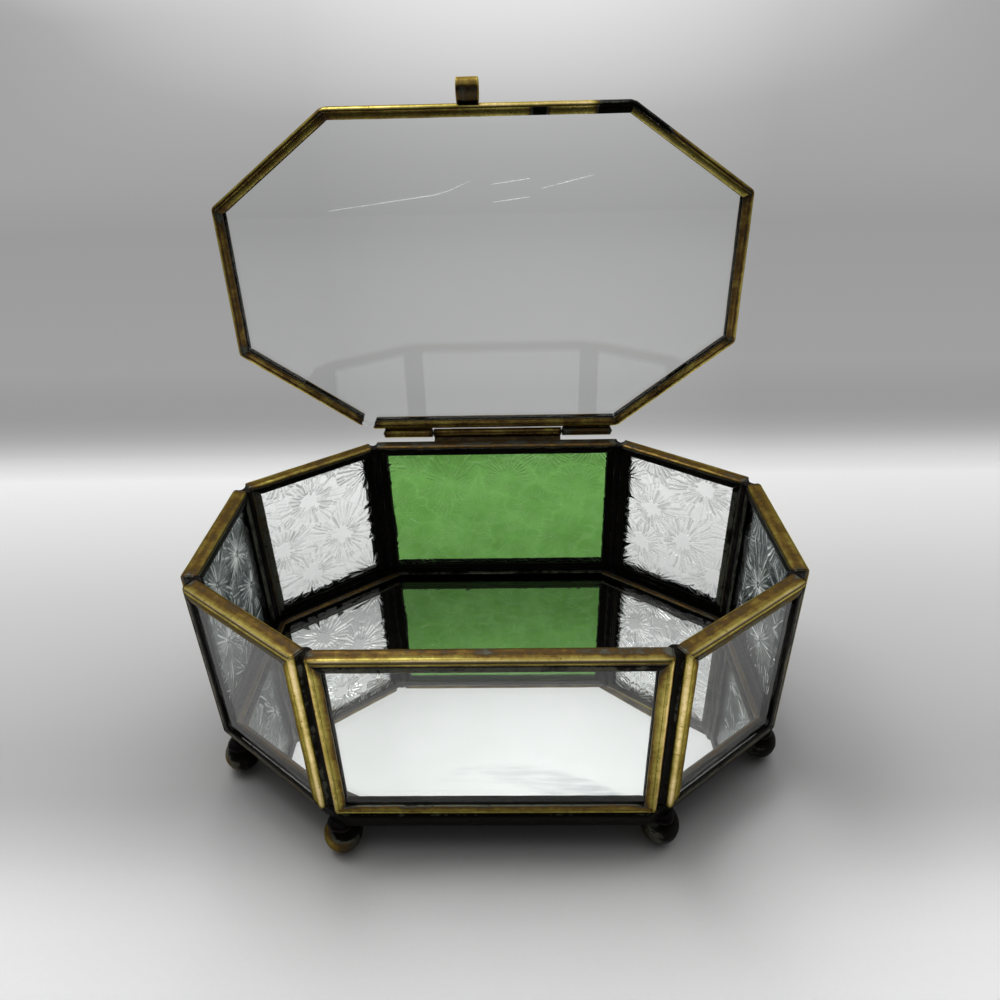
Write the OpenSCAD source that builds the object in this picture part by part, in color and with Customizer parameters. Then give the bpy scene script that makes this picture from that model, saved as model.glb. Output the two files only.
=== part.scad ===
// Eight-sided casket box of glass panes in brass came, standing on ball feet over a mirror,
// with a hinged glass lid shown open on its stop.
// X runs along the box, +Y points to the hinge, +Z points up. The origin is on the ground
// under the middle of the box.

/* [Box] */
// Length of the front and back panels between their inside corners
front_l = 82; // [60:1:110]
// Length of the two end panels between their inside corners
end_l = 41.6; // [25:0.2:60]
// Inside width between the two end panels
inside_w = 151.6; // [125:0.2:200]
// Inside depth between the front and back panels
inside_d = 91.6; // [75:0.2:130]
// Height of the side panels
panel_h = 53; // [35:1:90]

/* [Glass] */
// Thickness of the panes
glass_t = 3.2; // [2:0.1:4]
// Thickness of the mirror in the base
mirror_t = 3.4; // [2:0.1:5]
// Play of the glass in its came, on every side
glass_play = 0.2; // [0.05:0.05:0.3]

/* [Brass came] */
// Thickness of the brass strip
came_wall = 0.6; // [0.4:0.05:0.8]
// Depth of the flanges that hold a side pane
came_leg = 3.4; // [2:0.1:5]
// Depth of the flanges that hold the mirror
base_leg = 6; // [3:0.1:8]
// Distance by which the base is cut short of the walls at the ends and corner sides
base_inset = 1.9; // [0:0.1:2.5]
// Radius of the came's outer edges
came_round = 1.2; // [0.3:0.1:1.5]
// Width of the slits where the flanges are notched and folded round a corner
mitre_w = 0.2; // [0.1:0.05:0.4]

/* [Solder] */
// Distance from a side frame's end to the inside corner of the box
frame_gap = 0.2; // [0:0.05:0.5]
// Depth to which solder fills the groove between two side frames
seam_fill = 3.3; // [2:0.1:4]
// Reach of the solder bead along the inside faces at a corner
seam_reach = 1.2; // [1:0.1:2]
// Height of the solder collar round the top of a foot
foot_collar_h = 0.6; // [0.3:0.1:1]
// Width of that collar at the base frame, measured from the ball's axis
foot_collar_r = 3.3; // [2.8:0.1:4]

/* [Feet] */
// Diameter of the brass balls
foot_d = 10; // [6:0.5:14]
// Depth of the flat on top of each ball, where it is soldered on
foot_flat = 0.5; // [0.2:0.1:1]
// Inset of the front and back feet from the box's outer corners
foot_in_front = 3.5; // [1:0.1:5]
// Inset of the end feet from the base frame's ends
foot_in_end = 3.4; // [2:0.1:8]
// Angle by which the set of feet was soldered on out of square with the box
foot_turn = 1.4; // [-3:0.1:3]
// Distance by which the set of feet sits to the right
foot_shift = 0.3; // [-1:0.1:1]

/* [Lid] */
// Angle at which the open lid stands on its stop
lid_open = 91.4; // [0:0.1:110]
// Gap between the closed lid and the rim
lid_gap = 0.3; // [0.2:0.05:1]
// Distance by which the lid sits to the left of the box
lid_shift = 2.9; // [0:0.1:4]
// Distance by which each end of the lid is cut short of the rim's outer face
lid_trim_end = 0.5; // [0:0.1:1.5]
// Distance by which the lid's front edge is cut short of the rim's outer face
lid_trim_front = 0.7; // [0:0.1:1.5]
// Error of the hand-cut lid along its front and back edges
lid_cut_long = 1.3; // [0:0.1:2]
// Distance by which the lid's right end is cut forward of its middle
lid_cut_end = 1.7; // [0:0.1:2.5]
// Gap between the two ends of the lid's came, at the back left corner
lid_came_gap = 4; // [2:0.1:6]

/* [Hinge] */
// Outside diameter of the hinge tube
tube_d = 2.9; // [2.5:0.1:3]
// Diameter of the wire that the hinge turns on
wire_d = 1.2; // [0.8:0.1:1.4]
// Clearance round the wire
wire_play = 0.05; // [0.03:0.01:0.1]
// Distance of the wire behind the back face of the box
wire_back = 2; // [1.75:0.05:2.5]
// Height of the wire above the rim
wire_up = 1.6; // [1:0.05:2]
// Length of the whole hinge
hinge_l = 77.2; // [60:0.2:82]
// Length of the middle tube
mid_tube_l = 43.5; // [25:0.5:50]
// Gap between two tubes
tube_gap = 0.3; // [0.2:0.05:0.6]
// Distance of the hinge to the right of the box's middle
hinge_shift = 0.3; // [-2:0.1:2]
// Distance by which the wire stands out of the tubes at each end
wire_over = 0.4; // [0.1:0.1:1]

/* [Lift tab] */
// Width of the curled strip
tab_w = 6.3; // [4:0.1:9]
// Outside diameter of its curl
tab_curl_d = 6.7; // [4.5:0.1:8]
// Thickness of the strip
tab_wall = 0.7; // [0.5:0.05:0.8]
// Height of the flat foot that is soldered to the lid's front rail
tab_foot_h = 2.8; // [2:0.1:3]
// Distance of the tab to the left of the lid's middle
tab_shift = 2.6; // [0:0.1:10]
// Size of the solder bead under the tab's foot
tab_bead = 0.8; // [0.3:0.1:0.9]

/* [Hidden] */
SIDES = ["front", "front_right", "right", "back_right", "back", "back_left", "left", "front_left"];
CORNERS = ["front_left", "front_right", "right_front", "right_back",
           "back_right", "back_left", "left_back", "left_front"];

BRASS = "#b08d3c";
DARK_BRASS = "#6f5a2c";
SOLDER = "#2b2a28";
CLEAR = "#cfe3e6";
GREEN = "#5fa34b";
SILVER = "#b9c2c6";
EPS = 0.01;
FAR = 400;
$fn = 32;

// The came's outside width follows from the glass that it holds
side_w = came_width(glass_t);
base_h = came_width(mirror_t);
base_z = foot_d - foot_flat;
wall_z = base_z + base_h;
rim_z = wall_z + panel_h;
inside = octagon(front_l / 2, inside_d / 2, inside_w / 2, end_l / 2);
outside = grow(inside, side_w);
base_outline = move_edges(outside, [for (i = [0:7]) i % 4 == 0 ? 0 : -base_inset]);
back_y = inside_d / 2 + side_w;
wire_y = back_y + wire_back;
wire_z = rim_z + wire_up;
lid_z = rim_z + lid_gap;
lid_outline = hand_cut(outside);
lid_front_y = lid_outline[0].y;
tube_r = tube_d / 2;
bore_r = wire_d / 2 + wire_play;
tab_x = -lid_shift - tab_shift;
tab_foot_z = lid_z + (side_w - tab_foot_h) / 2;
tab_curl_y = lid_front_y - tab_wall / 2 - tab_curl_d / 2;
tab_curl_z = lid_z + side_w / 2;

function came_width(t) = t + 2 * glass_play + 2 * came_wall;

// Corners of an eight-sided outline, anticlockwise from the left end of the front edge
function octagon(a, d, w, c) =
    [[-a, -d], [a, -d], [w, -c], [w, c], [a, d], [-a, d], [-w, c], [-w, -c]];

function next(p, i) = p[(i + 1) % len(p)];
function prev(p, i) = p[(i + len(p) - 1) % len(p)];
function unit(v) = v / norm(v);
function outward(e) = [e.y, -e.x];
function along(p, i) = unit(next(p, i) - p[i]);
function before(p, i) = unit(p[i] - prev(p, i));
function heading(e) = atan2(e.y, e.x);

// Unit vector from corner i of p straight out of the outline, scaled so that moving
// the corner by it moves both edges by one
function corner_out(p, i) =
    let (n1 = outward(before(p, i)), n2 = outward(along(p, i))) (n1 + n2) / (1 + n1 * n2);

// Outline p with every edge moved outward by s
function grow(p, s) = [for (i = [0:len(p) - 1]) p[i] + s * corner_out(p, i)];

// Outline p with its edge i moved outward by s[i]
function move_edges(p, s) = [for (i = [0:len(p) - 1])
    let (n1 = outward(before(p, i)), n2 = outward(along(p, i)), c = n1 * n2, s1 = prev(s, i))
    p[i] + (s1 * (n1 - c * n2) + s[i] * (n2 - c * n1)) / (1 - c * c)];

// The rim's outline p as it came out when the lid was cut by hand
function hand_cut(p) =
    let (front = [0, lid_trim_front], long_x = [lid_cut_long, 0],
         left = [lid_trim_end, 0], right = [-lid_trim_end, -lid_cut_end],
         all = [-lid_shift, 0])
    [p[0] + front - long_x + all, p[1] + front + long_x + all,
     p[2] + right + all, p[3] + right + all,
     p[4] + long_x + all, p[5] + long_x + all,
     p[6] + left + all, p[7] + left + all];

// Point on a circle of radius r round c, at an angle
function on_circle(c, r, angle) = c + r * [cos(angle), sin(angle)];

// Everything on the straight inner side of edge i, rounded along that edge's two borders
module edge_side(p, i, t) {
    translate([p[i].x, p[i].y, 0]) rotate([90, 0, 90 + heading(along(p, i))])
        translate([0, 0, -FAR / 2]) linear_extrude(FAR) {
            translate([0, came_round]) square([FAR, t - 2 * came_round]);
            translate([came_round, 0]) square([FAR, t]);
            for (z = [came_round, t - came_round])
                translate([came_round, z]) circle(came_round);
        }
}

// Plate of outline p and thickness t with rounded borders
module came_plate(p, t) {
    intersection_for (i = [0:len(p) - 1]) edge_side(p, i, t);
}

// Brass strip of channel section folded round outline p. The flanges are t apart outside
// and are slit at each corner listed in folds.
module came_ring(p, t, leg, folds) {
    difference() {
        came_plate(p, t);
        translate([0, 0, -1]) linear_extrude(t + 2) polygon(grow(p, -leg));
        translate([0, 0, came_wall]) linear_extrude(t - 2 * came_wall)
            polygon(grow(p, -came_wall));
        for (i = folds) mitre_slit(p, i, t, leg);
    }
}

// Slit through both flanges at corner i, from the strip's web to the window
module mitre_slit(p, i, t, leg) {
    out = corner_out(p, i);
    translate([p[i].x, p[i].y, -1] - came_wall * [out.x, out.y, 0])
        rotate([0, 0, heading(-out)]) translate([0, -mitre_w / 2, 0])
            cube([(leg - came_wall) * norm(out) + EPS, mitre_w, t + 2]);
}

// Pane of outline p less the strip's web and the play round the glass
module pane(p, t) {
    translate([0, 0, came_wall + glass_play]) linear_extrude(t)
        polygon(grow(p, -came_wall - glass_play));
}

// Outline of side frame i, standing on its long edge
function side_len(i) = norm(next(inside, i) - inside[i]) - 2 * frame_gap;
function side_outline(i) = [[0, 0], [side_len(i), 0], [side_len(i), panel_h], [0, panel_h]];

// Stands a flat piece up as side i, with its inner face on the inside outline
module stand_side(i) {
    translate([inside[i].x, inside[i].y, wall_z]) rotate([0, 0, heading(along(inside, i))])
        translate([frame_gap, 0, 0]) rotate([90, 0, 0]) children();
}

module side_frame(i) {
    color(BRASS) stand_side(i) came_ring(side_outline(i), side_w, came_leg, [0:3]);
}

module side_glass(i) {
    color(SIDES[i] == "back" ? GREEN : CLEAR) stand_side(i) pane(side_outline(i), glass_t);
}

// Plan of side frame i, with its rounded borders
module side_plan(i) {
    translate(inside[i]) rotate(heading(along(inside, i))) translate([frame_gap, -side_w]) {
        translate([0, came_round]) square([side_len(i), side_w - 2 * came_round]);
        translate([came_round, 0]) square([side_len(i) - 2 * came_round, side_w]);
        for (x = [came_round, side_len(i) - came_round], y = [came_round, side_w - came_round])
            translate([x, y]) circle(came_round);
    }
}

// Solder run down the groove between the side frames on either side of corner i
module seam(i) {
    e1 = before(inside, i);
    e2 = along(inside, i);
    last = (i + 7) % 8;
    color(SOLDER) translate([0, 0, wall_z + came_round])
        linear_extrude(panel_h - 2 * came_round) difference() {
            polygon([inside[i] - e1 * (frame_gap + seam_reach),
                     inside[i] - e1 * frame_gap + outward(e1) * seam_fill,
                     inside[i] + e2 * frame_gap + outward(e2) * seam_fill,
                     inside[i] + e2 * (frame_gap + seam_reach)]);
            side_plan(last);
            side_plan(i);
        }
}

module base_frame() {
    color(DARK_BRASS) translate([0, 0, base_z]) came_ring(base_outline, base_h, base_leg, [0:7]);
}

module base_mirror() {
    color(SILVER) translate([0, 0, base_z]) pane(base_outline, mirror_t);
}

// Where foot i stands on the square plan: in from the box's corner for the front and back feet,
// and in from the base frame's end for the four end feet
function end_out(i) = outward(i % 4 == 2 ? along(outside, i) : before(outside, i));
function foot_plan(i) = i % 4 < 2 ? outside[i] - unit(corner_out(outside, i)) * foot_in_front
                                  : base_outline[i] - end_out(i) * foot_in_end;

function turned(v, a) = [v.x * cos(a) - v.y * sin(a), v.x * sin(a) + v.y * cos(a)];

// Centre of foot i
function foot_at(i) = turned(foot_plan(i), foot_turn) + [foot_shift, 0];

module foot(i) {
    at = foot_at(i);
    color(BRASS) translate([at.x, at.y, 0]) difference() {
        translate([0, 0, foot_d / 2]) sphere(d = foot_d, $fn = 48);
        translate([-foot_d, -foot_d, base_z]) cube(2 * foot_d);
    }
}

module foot_solder() {
    color(SOLDER) for (i = [0:7]) {
        at = foot_at(i);
        translate([at.x, at.y, 0]) difference() {
            translate([0, 0, base_z - foot_collar_h]) cylinder(r = foot_collar_r, h = foot_collar_h);
            translate([0, 0, foot_d / 2]) sphere(d = foot_d, $fn = 48);
        }
    }
}

// Profile in the plane across the hinge, drawn as y and z, run from x1 to x2
module across(x1, x2) {
    translate([x1, 0, 0]) rotate([90, 0, 90]) linear_extrude(x2 - x1) children();
}

// Hinge tube from x1 to x2
module tube(x1, x2) {
    across(x1, x2) translate([wire_y, wire_z]) difference() {
        circle(tube_r);
        circle(bore_r);
    }
}

hinge_x1 = hinge_shift - hinge_l / 2;
hinge_x2 = hinge_shift + hinge_l / 2;
mid_x1 = hinge_shift - mid_tube_l / 2;
mid_x2 = hinge_shift + mid_tube_l / 2;

module hinge_middle_tube() {
    color(BRASS) tube(mid_x1, mid_x2);
}

module hinge_wire() {
    color(DARK_BRASS) across(hinge_x1 - wire_over, hinge_x2 + wire_over)
        translate([wire_y, wire_z]) circle(d = wire_d);
}

// Fillet that joins the middle tube to the rounded top edge of the back frame
module hinge_solder() {
    wire = [wire_y, wire_z];
    edge = [back_y - came_round, rim_z - came_round];
    color(SOLDER) across(mid_x1 + tube_gap, mid_x2 - tube_gap) difference() {
        polygon([wire, on_circle(wire, tube_r, 225), on_circle(edge, came_round, 45), edge,
                 [back_y, edge.y], [back_y, edge.y - tube_r], on_circle(wire, tube_r, 280)]);
        translate(wire) circle(tube_r);
        translate(edge) circle(came_round);
    }
}

// Turns a piece of the lid from closed to where it stands open
module opened() {
    translate([0, wire_y, wire_z]) rotate([-lid_open, 0, 0]) translate([0, -wire_y, -wire_z])
        children();
}

// The ends of the lid's came stop short of each other at the back left corner
module lid_frame() {
    corner = lid_outline[5];
    color(BRASS) opened() difference() {
        translate([0, 0, lid_z]) came_ring(lid_outline, side_w, came_leg, [0, 1, 2, 3, 4, 6, 7]);
        translate([corner.x, corner.y, lid_z - 1])
            rotate([0, 0, heading(corner_out(lid_outline, 5))])
                translate([-3 * came_leg, -lid_came_gap / 2, 0])
                    cube([4 * came_leg, lid_came_gap, side_w + 2]);
    }
}

module lid_glass() {
    color(CLEAR) opened() translate([0, 0, lid_z]) pane(lid_outline, glass_t);
}

module hinge_left_tube() {
    color(BRASS) opened() tube(hinge_x1, mid_x1 - tube_gap);
}

module hinge_right_tube() {
    color(BRASS) opened() tube(mid_x2 + tube_gap, hinge_x2);
}

// Fillets that join the two outer tubes to the lid's back rail
module lid_hinge_solder() {
    wire = [wire_y, wire_z];
    low = lid_z + came_round;
    color(SOLDER) opened()
        for (x = [[hinge_x1 + tube_gap, mid_x1 - 2 * tube_gap], [mid_x2 + 2 * tube_gap, hinge_x2 - tube_gap]])
            across(x[0], x[1]) difference() {
                polygon([[back_y, low], wire, on_circle(wire, tube_r, 120), [back_y, low + tube_r]]);
                translate(wire) circle(tube_r);
            }
}

// Brass strip rolled into a loop over a flat foot
module lift_tab() {
    color(BRASS) opened() across(tab_x - tab_w / 2, tab_x + tab_w / 2) {
        translate([lid_front_y - tab_wall, tab_foot_z]) square([tab_wall, tab_foot_h]);
        difference() {
            translate([tab_curl_y, tab_curl_z]) circle(d = tab_curl_d);
            translate([tab_curl_y, tab_curl_z]) circle(d = tab_curl_d - 2 * tab_wall);
            translate([lid_front_y, lid_z - tab_curl_d]) square(3 * tab_curl_d);
        }
    }
}

module tab_solder() {
    color(SOLDER) opened() across(tab_x - tab_w / 2 + tab_wall, tab_x + tab_w / 2 - tab_wall)
        polygon([[lid_front_y, tab_foot_z], [lid_front_y - tab_wall, tab_foot_z],
                 [lid_front_y, tab_foot_z - tab_bead]]);
}

base_frame();
base_mirror();
for (i = [0:7]) side_frame(i);
for (i = [0:7]) side_glass(i);
for (i = [0:7]) seam(i);
for (i = [0:7]) foot(i);
foot_solder();
hinge_middle_tube();
hinge_wire();
hinge_solder();
lid_frame();
lid_glass();
hinge_left_tube();
hinge_right_tube();
lid_hinge_solder();
lift_tab();
tab_solder();
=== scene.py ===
"""Eight-sided casket box: glass panes in brass came on ball feet, a mirror floor and a hinged lid."""

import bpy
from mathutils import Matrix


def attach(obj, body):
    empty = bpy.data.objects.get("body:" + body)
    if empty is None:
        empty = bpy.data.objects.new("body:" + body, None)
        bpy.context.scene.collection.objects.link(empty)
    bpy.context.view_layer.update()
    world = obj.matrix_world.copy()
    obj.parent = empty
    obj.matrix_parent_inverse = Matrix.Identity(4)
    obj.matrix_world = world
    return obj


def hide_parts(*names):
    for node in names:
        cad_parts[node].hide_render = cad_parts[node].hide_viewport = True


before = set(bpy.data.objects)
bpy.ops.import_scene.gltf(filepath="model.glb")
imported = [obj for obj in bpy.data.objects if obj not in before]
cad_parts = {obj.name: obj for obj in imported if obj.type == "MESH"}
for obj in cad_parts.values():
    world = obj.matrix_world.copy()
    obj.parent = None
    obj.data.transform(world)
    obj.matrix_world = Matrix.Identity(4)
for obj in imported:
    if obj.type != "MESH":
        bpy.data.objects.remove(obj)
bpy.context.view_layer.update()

import math

import bpy
import numpy as np
from mathutils import Matrix, Vector

# ---------------------------------------------------------------------------------------------
# The sheet that the box stands on, with its light and camera. It is one piece of pale card that
# lies flat, then sweeps up behind the box into an upright wall. Light comes from behind and above.
# ---------------------------------------------------------------------------------------------
MM = 0.001
SWEEP_START = 136.0
SWEEP_RADIUS = 45.0
SWEEP_SIDE = 1400.0
SWEEP_FRONT = -900.0
SWEEP_TOP = 420.0
# Distance of the floor from the viewer's side, in millimetres, and how pale it is painted there. The
# changes are painted light and shade: shade beside and just before the box stands in for its shadow, the
# floor behind it is painted paler, and it is painted darker further towards the viewer, where less light
# falls
FLOOR_PAINTED_SHADE = [
    (-900, 0.08), (-520, 0.34), (-260, 0.42), (-150, 0.46), (-104, 0.60), (-84, 0.80),
    (-70, 0.79), (-60, 0.74), (-50, 0.63), (-36, 0.51), (-20, 0.50), (-2, 0.54),
    (21, 0.585), (46, 0.635), (84, 0.74), (136, 0.87),
]
# Height on the wall in millimetres and how bright it is there
WALL_SHADES = [
    (0, 0.76), (2.8, 0.62), (5.4, 0.51), (8.6, 0.41), (12.2, 0.355), (17, 0.325), (25, 0.325),
    (40, 0.35), (75, 0.34), (110, 0.325), (140, 0.37), (155, 0.41), (170, 0.51), (182, 0.58),
    (197, 0.66), (240, 0.85), (300, 1.0),
]
# How much lower the wall's shades lie at its sides, by the square of the way out, and how that
# grows with height: slope and start
WALL_FALL = 1.2
FALL_SLOPE, FALL_START = 16.7, -2.3
# Where the wall glows a little more, how far that reaches either way, and by how much
WALL_GLOW_X = 20.0
WALL_GLOW_HALF = 105.0
WALL_GLOW = 0.14
# Height over which the card goes over from lit to glowing, and how much its grain shows
GLOW_START = 4.0
CARD_GRAIN = 0.08


def put_mesh(name, points, faces, material):
    """Makes an object at the origin from points in millimetres and lists of corner numbers."""
    mesh = bpy.data.meshes.new(name)
    mesh.from_pydata((np.asarray(points) * MM).tolist(), [], [list(f) for f in faces])
    mesh.materials.append(material)
    obj = bpy.data.objects.new(name, mesh)
    bpy.context.scene.collection.objects.link(obj)
    mesh.update()
    return obj


def grid_quads(rows, cols, close_rows=False, close_cols=False):
    """Corner numbers of the squares between neighbouring points of a grid of rows by cols,
    which may close on itself either way."""
    r = np.arange(rows if close_rows else rows - 1)[:, None]
    c = np.arange(cols if close_cols else cols - 1)[None, :]
    r2, c2 = (r + 1) % rows, (c + 1) % cols
    return np.stack([r * cols + c, r * cols + c2, r2 * cols + c2, r2 * cols + c], -1).reshape(-1, 4)


class Nodes:
    """A node tree. Each call adds a node, fills its inputs by name and returns it."""

    def __init__(self, name, owner=None):
        self.owner = owner or bpy.data.materials.new(name)
        self.owner.use_nodes = True
        self.tree = self.owner.node_tree
        self.tree.nodes.clear()

    def __call__(self, kind, inputs=None, **settings):
        made = self.tree.nodes.new(kind)
        for key, value in settings.items():
            setattr(made, key, value)
        for key, value in (inputs or {}).items():
            socket = made.inputs[key]
            if isinstance(value, bpy.types.NodeSocket):
                self.tree.links.new(value, socket)
            else:
                socket.default_value = value
        return made

    def math(self, operation, a, b=0.0, clamp=False, c=0.0):
        """Output of a Math node."""
        made = self("ShaderNodeMath", {0: a, 1: b, 2: c}, operation=operation)
        made.use_clamp = clamp
        return made.outputs[0]

    def total(self, *parts):
        """Sum of outputs and numbers."""
        sum_so_far = parts[0]
        for part in parts[1:]:
            sum_so_far = self.math("ADD", sum_so_far, part)
        return sum_so_far

    def swing(self, value, size):
        """A noise output brought round zero and scaled."""
        return self.math("MULTIPLY", self.math("SUBTRACT", value, 0.5), size)

    def ramp(self, factor, stops):
        """Output of a colour ramp with the given places and colours or greys."""
        made = self("ShaderNodeValToRGB", {"Fac": factor})
        band = made.color_ramp
        while len(band.elements) > 1:
            band.elements.remove(band.elements[-1])
        for k, (place, colour) in enumerate(stops):
            stop = band.elements[0] if k == 0 else band.elements.new(place)
            stop.position = place
            stop.color = tuple(colour) + (1,) if hasattr(colour, "__len__") else (colour,) * 3 + (1,)
        return made.outputs["Color"]

    def mix(self, factor, a, b):
        """Output of a colour mix."""
        return self("ShaderNodeMix", {0: factor, 6: a, 7: b}, data_type="RGBA").outputs[2]

    def noise(self, where, scale, detail=3.0, rough=0.5):
        """Output of a noise texture."""
        return self(
            "ShaderNodeTexNoise",
            {"Vector": where, "Scale": scale, "Detail": detail, "Roughness": rough},
        ).outputs["Fac"]

    def place(self):
        """Coordinates of the object itself."""
        return self("ShaderNodeTexCoord").outputs["Object"]

    def point(self, name, vector=False):
        """A number or a vector that the mesh keeps for each point."""
        return self("ShaderNodeAttribute", attribute_name=name).outputs["Vector" if vector else "Fac"]

    def seen(self):
        """One for rays that show things, directly or in metal or glass; none for those that light."""
        rays = self("ShaderNodeLightPath").outputs
        shown = self.math("ADD", rays["Is Camera Ray"], rays["Is Glossy Ray"])
        return self.math("ADD", shown, rays["Is Transmission Ray"], clamp=True)

    def finish(self, surface):
        """Shows the given shader."""
        self("ShaderNodeOutputMaterial", {"Surface": surface})
        return self.owner


def spread(stops):
    """Stops with their places brought to the range from 0 to 1, and that range."""
    low, high = stops[0][0], stops[-1][0]
    return [((at - low) / (high - low), shade) for at, shade in stops], low, high


def card_material():
    """Matt card whose floor is painted paler or darker by its distance from the viewer, as painted light
    and shade, and whose upright part glows as bright as its height says, a little less up at the sides.
    The upright part is seen from before it, but lets the light from behind it through to the floor."""
    n = Nodes("card")
    place = n.place()
    axes = n("ShaderNodeSeparateXYZ", {0: place}).outputs

    def shade(along, stops):
        marks, low, high = spread(stops)
        share = n.math("DIVIDE", n.math("SUBTRACT", along, low * MM), (high - low) * MM, clamp=True)
        return n.ramp(share, marks)

    sides = n.math("MULTIPLY", n.math("MULTIPLY", axes["X"], axes["X"]), WALL_FALL)
    fall = n.math("MULTIPLY_ADD", axes["Z"], FALL_SLOPE, clamp=True, c=FALL_START)
    sides = n.math("MULTIPLY", sides, fall)
    height = n.math("SUBTRACT", axes["Z"], sides)

    grain = n.noise(place, 900.0, 2.0)
    grain = n.math("MULTIPLY", grain, CARD_GRAIN)
    # Painted light and shade on the floor, by its distance from the viewer
    floor = n.mix(grain, shade(axes["Y"], FLOOR_PAINTED_SHADE), (0.5, 0.5, 0.5, 1))
    matt = n("ShaderNodeBsdfDiffuse", {"Color": floor, "Roughness": 1.0})
    off = n.math("MULTIPLY", n.math("SUBTRACT", axes["X"], WALL_GLOW_X * MM), 1 / (WALL_GLOW_HALF * MM))
    middle = n.math("SUBTRACT", 1.0, n.math("MULTIPLY", off, off), clamp=True)
    strength = n.math("MULTIPLY_ADD", middle, WALL_GLOW, c=1.0)
    glow = n("ShaderNodeEmission", {"Color": shade(height, WALL_SHADES), "Strength": strength})
    gone = n("ShaderNodeBsdfTransparent", {"Color": (1, 1, 1, 1)})
    before = n.math("SUBTRACT", 1.0, n("ShaderNodeNewGeometry").outputs["Backfacing"])
    shown = n.math("MULTIPLY", n.seen(), before)
    wall = n("ShaderNodeMixShader", {0: shown, 1: gone.outputs[0], 2: glow.outputs[0]})
    upright = n.math("DIVIDE", axes["Z"], GLOW_START * MM, clamp=True)
    card = n("ShaderNodeMixShader", {0: upright, 1: matt.outputs[0], 2: wall.outputs[0]})
    return n.finish(card.outputs[0])


def join(*parts):
    """Arrays brought to one shape and stacked as points, one to a row."""
    parts = np.broadcast_arrays(*parts)
    return np.stack(parts, -1).reshape(-1, len(parts))


def lay_card():
    """Sweeps one line across the card: level, a quarter circle, then straight up."""
    turn = np.linspace(0, np.pi / 2, 41)
    y = np.r_[SWEEP_FRONT, SWEEP_START + SWEEP_RADIUS * np.sin(turn), SWEEP_START + SWEEP_RADIUS]
    z = np.r_[0, SWEEP_RADIUS * (1 - np.cos(turn)), SWEEP_TOP]
    x = np.array([-SWEEP_SIDE, SWEEP_SIDE])
    points = join(x[None, :], y[:, None], z[:, None])
    card = put_mesh("card", points, grid_quads(len(y), 2), card_material())
    card.data.shade_smooth()


# How far rays count that go back and up, for what is seen and for what lights, and the room's
# brightness by their sum
SEEN_LEAN, LIT_LEAN = (0.45, 0.9), (0.80, 0.60)
SEEN_ROOM = [(0.0, 0.05), (0.25, 0.08), (0.5, 0.40), (0.72, 0.96), (1.0, 1.0)]
LIT_ROOM = [(0.0, 0.012), (0.2, 0.03), (0.5, 0.2), (0.75, 0.64), (1.0, 1.0)]
LIT_STRENGTH = 3.7


def light_room():
    """What is seen in glass and metal is a dim room before the box and a pale one behind and above
    it. What lights matt things comes mostly from behind and above. Both go by a ray's share
    backward times one number plus its share upward times another."""
    world = bpy.data.worlds.new("room")
    bpy.context.scene.world = world
    n = Nodes("room", world)
    way = n("ShaderNodeSeparateXYZ", {0: n("ShaderNodeTexCoord").outputs["Generated"]}).outputs

    def lean(back, up):
        back, up = n.math("MULTIPLY", way["Y"], back), n.math("MULTIPLY", way["Z"], up)
        return n.math("ADD", back, up, clamp=True)

    seen = n.ramp(lean(*SEEN_LEAN), SEEN_ROOM)
    lit = n.ramp(lean(*LIT_LEAN), LIT_ROOM)
    calm = n("ShaderNodeBackground", {"Color": seen, "Strength": 1.0}).outputs[0]
    bright = n("ShaderNodeBackground", {"Color": lit, "Strength": LIT_STRENGTH}).outputs[0]
    surface = n("ShaderNodeMixShader", {0: n.seen(), 1: bright, 2: calm}).outputs[0]
    n("ShaderNodeOutputWorld", {"Surface": surface})


def hang_lamp(name, place, aim, width, depth, power):
    """Soft rectangular lamp at a place in millimetres, turned to face aim."""
    lamp = bpy.data.lights.new(name, "AREA")
    lamp.shape = "RECTANGLE"
    lamp.size, lamp.size_y = width * MM, depth * MM
    lamp.energy = power
    obj = bpy.data.objects.new(name, lamp)
    bpy.context.scene.collection.objects.link(obj)
    obj.location = Vector(place) * MM
    obj.rotation_euler = (Vector(aim) - Vector(place)).to_track_quat("-Z", "Y").to_euler()


CAMERA_AT = (0.006686, -0.165541, 0.185307)
CAMERA_YAW, CAMERA_PITCH, CAMERA_ROLL = -1.4465, 28.254, -1.5027
LENS, SENSOR, SHIFT_UP = 26.015, 36, -0.06526


def set_camera():
    """Camera at its place above and before the box, turned by yaw, pitch and roll."""
    camera = bpy.data.cameras.new("camera")
    camera.sensor_width = SENSOR
    camera.lens = LENS
    camera.shift_y = SHIFT_UP
    obj = bpy.data.objects.new("camera", camera)
    bpy.context.scene.collection.objects.link(obj)
    yaw, pitch, roll = (math.radians(turn) for turn in (CAMERA_YAW, CAMERA_PITCH, CAMERA_ROLL))
    level = math.cos(pitch)
    ahead = np.array([math.sin(yaw) * level, math.cos(yaw) * level, -math.sin(pitch)])
    right = np.array([math.cos(yaw), -math.sin(yaw), 0])
    up = np.cross(right, ahead)
    right, up = (
        math.cos(roll) * right + math.sin(roll) * up,
        -math.sin(roll) * right + math.cos(roll) * up,
    )
    turn = Matrix(np.stack([right, up, -ahead], 1).tolist()).to_4x4()
    obj.matrix_world = Matrix.Translation(CAMERA_AT) @ turn
    bpy.context.scene.camera = obj


lay_card()
light_room()
hang_lamp("softbox", place=(-170, 120, 540), aim=(0, 0, 40), width=300, depth=160, power=0.85)
set_camera()
bpy.context.scene.view_settings.view_transform = "Standard"

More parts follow.
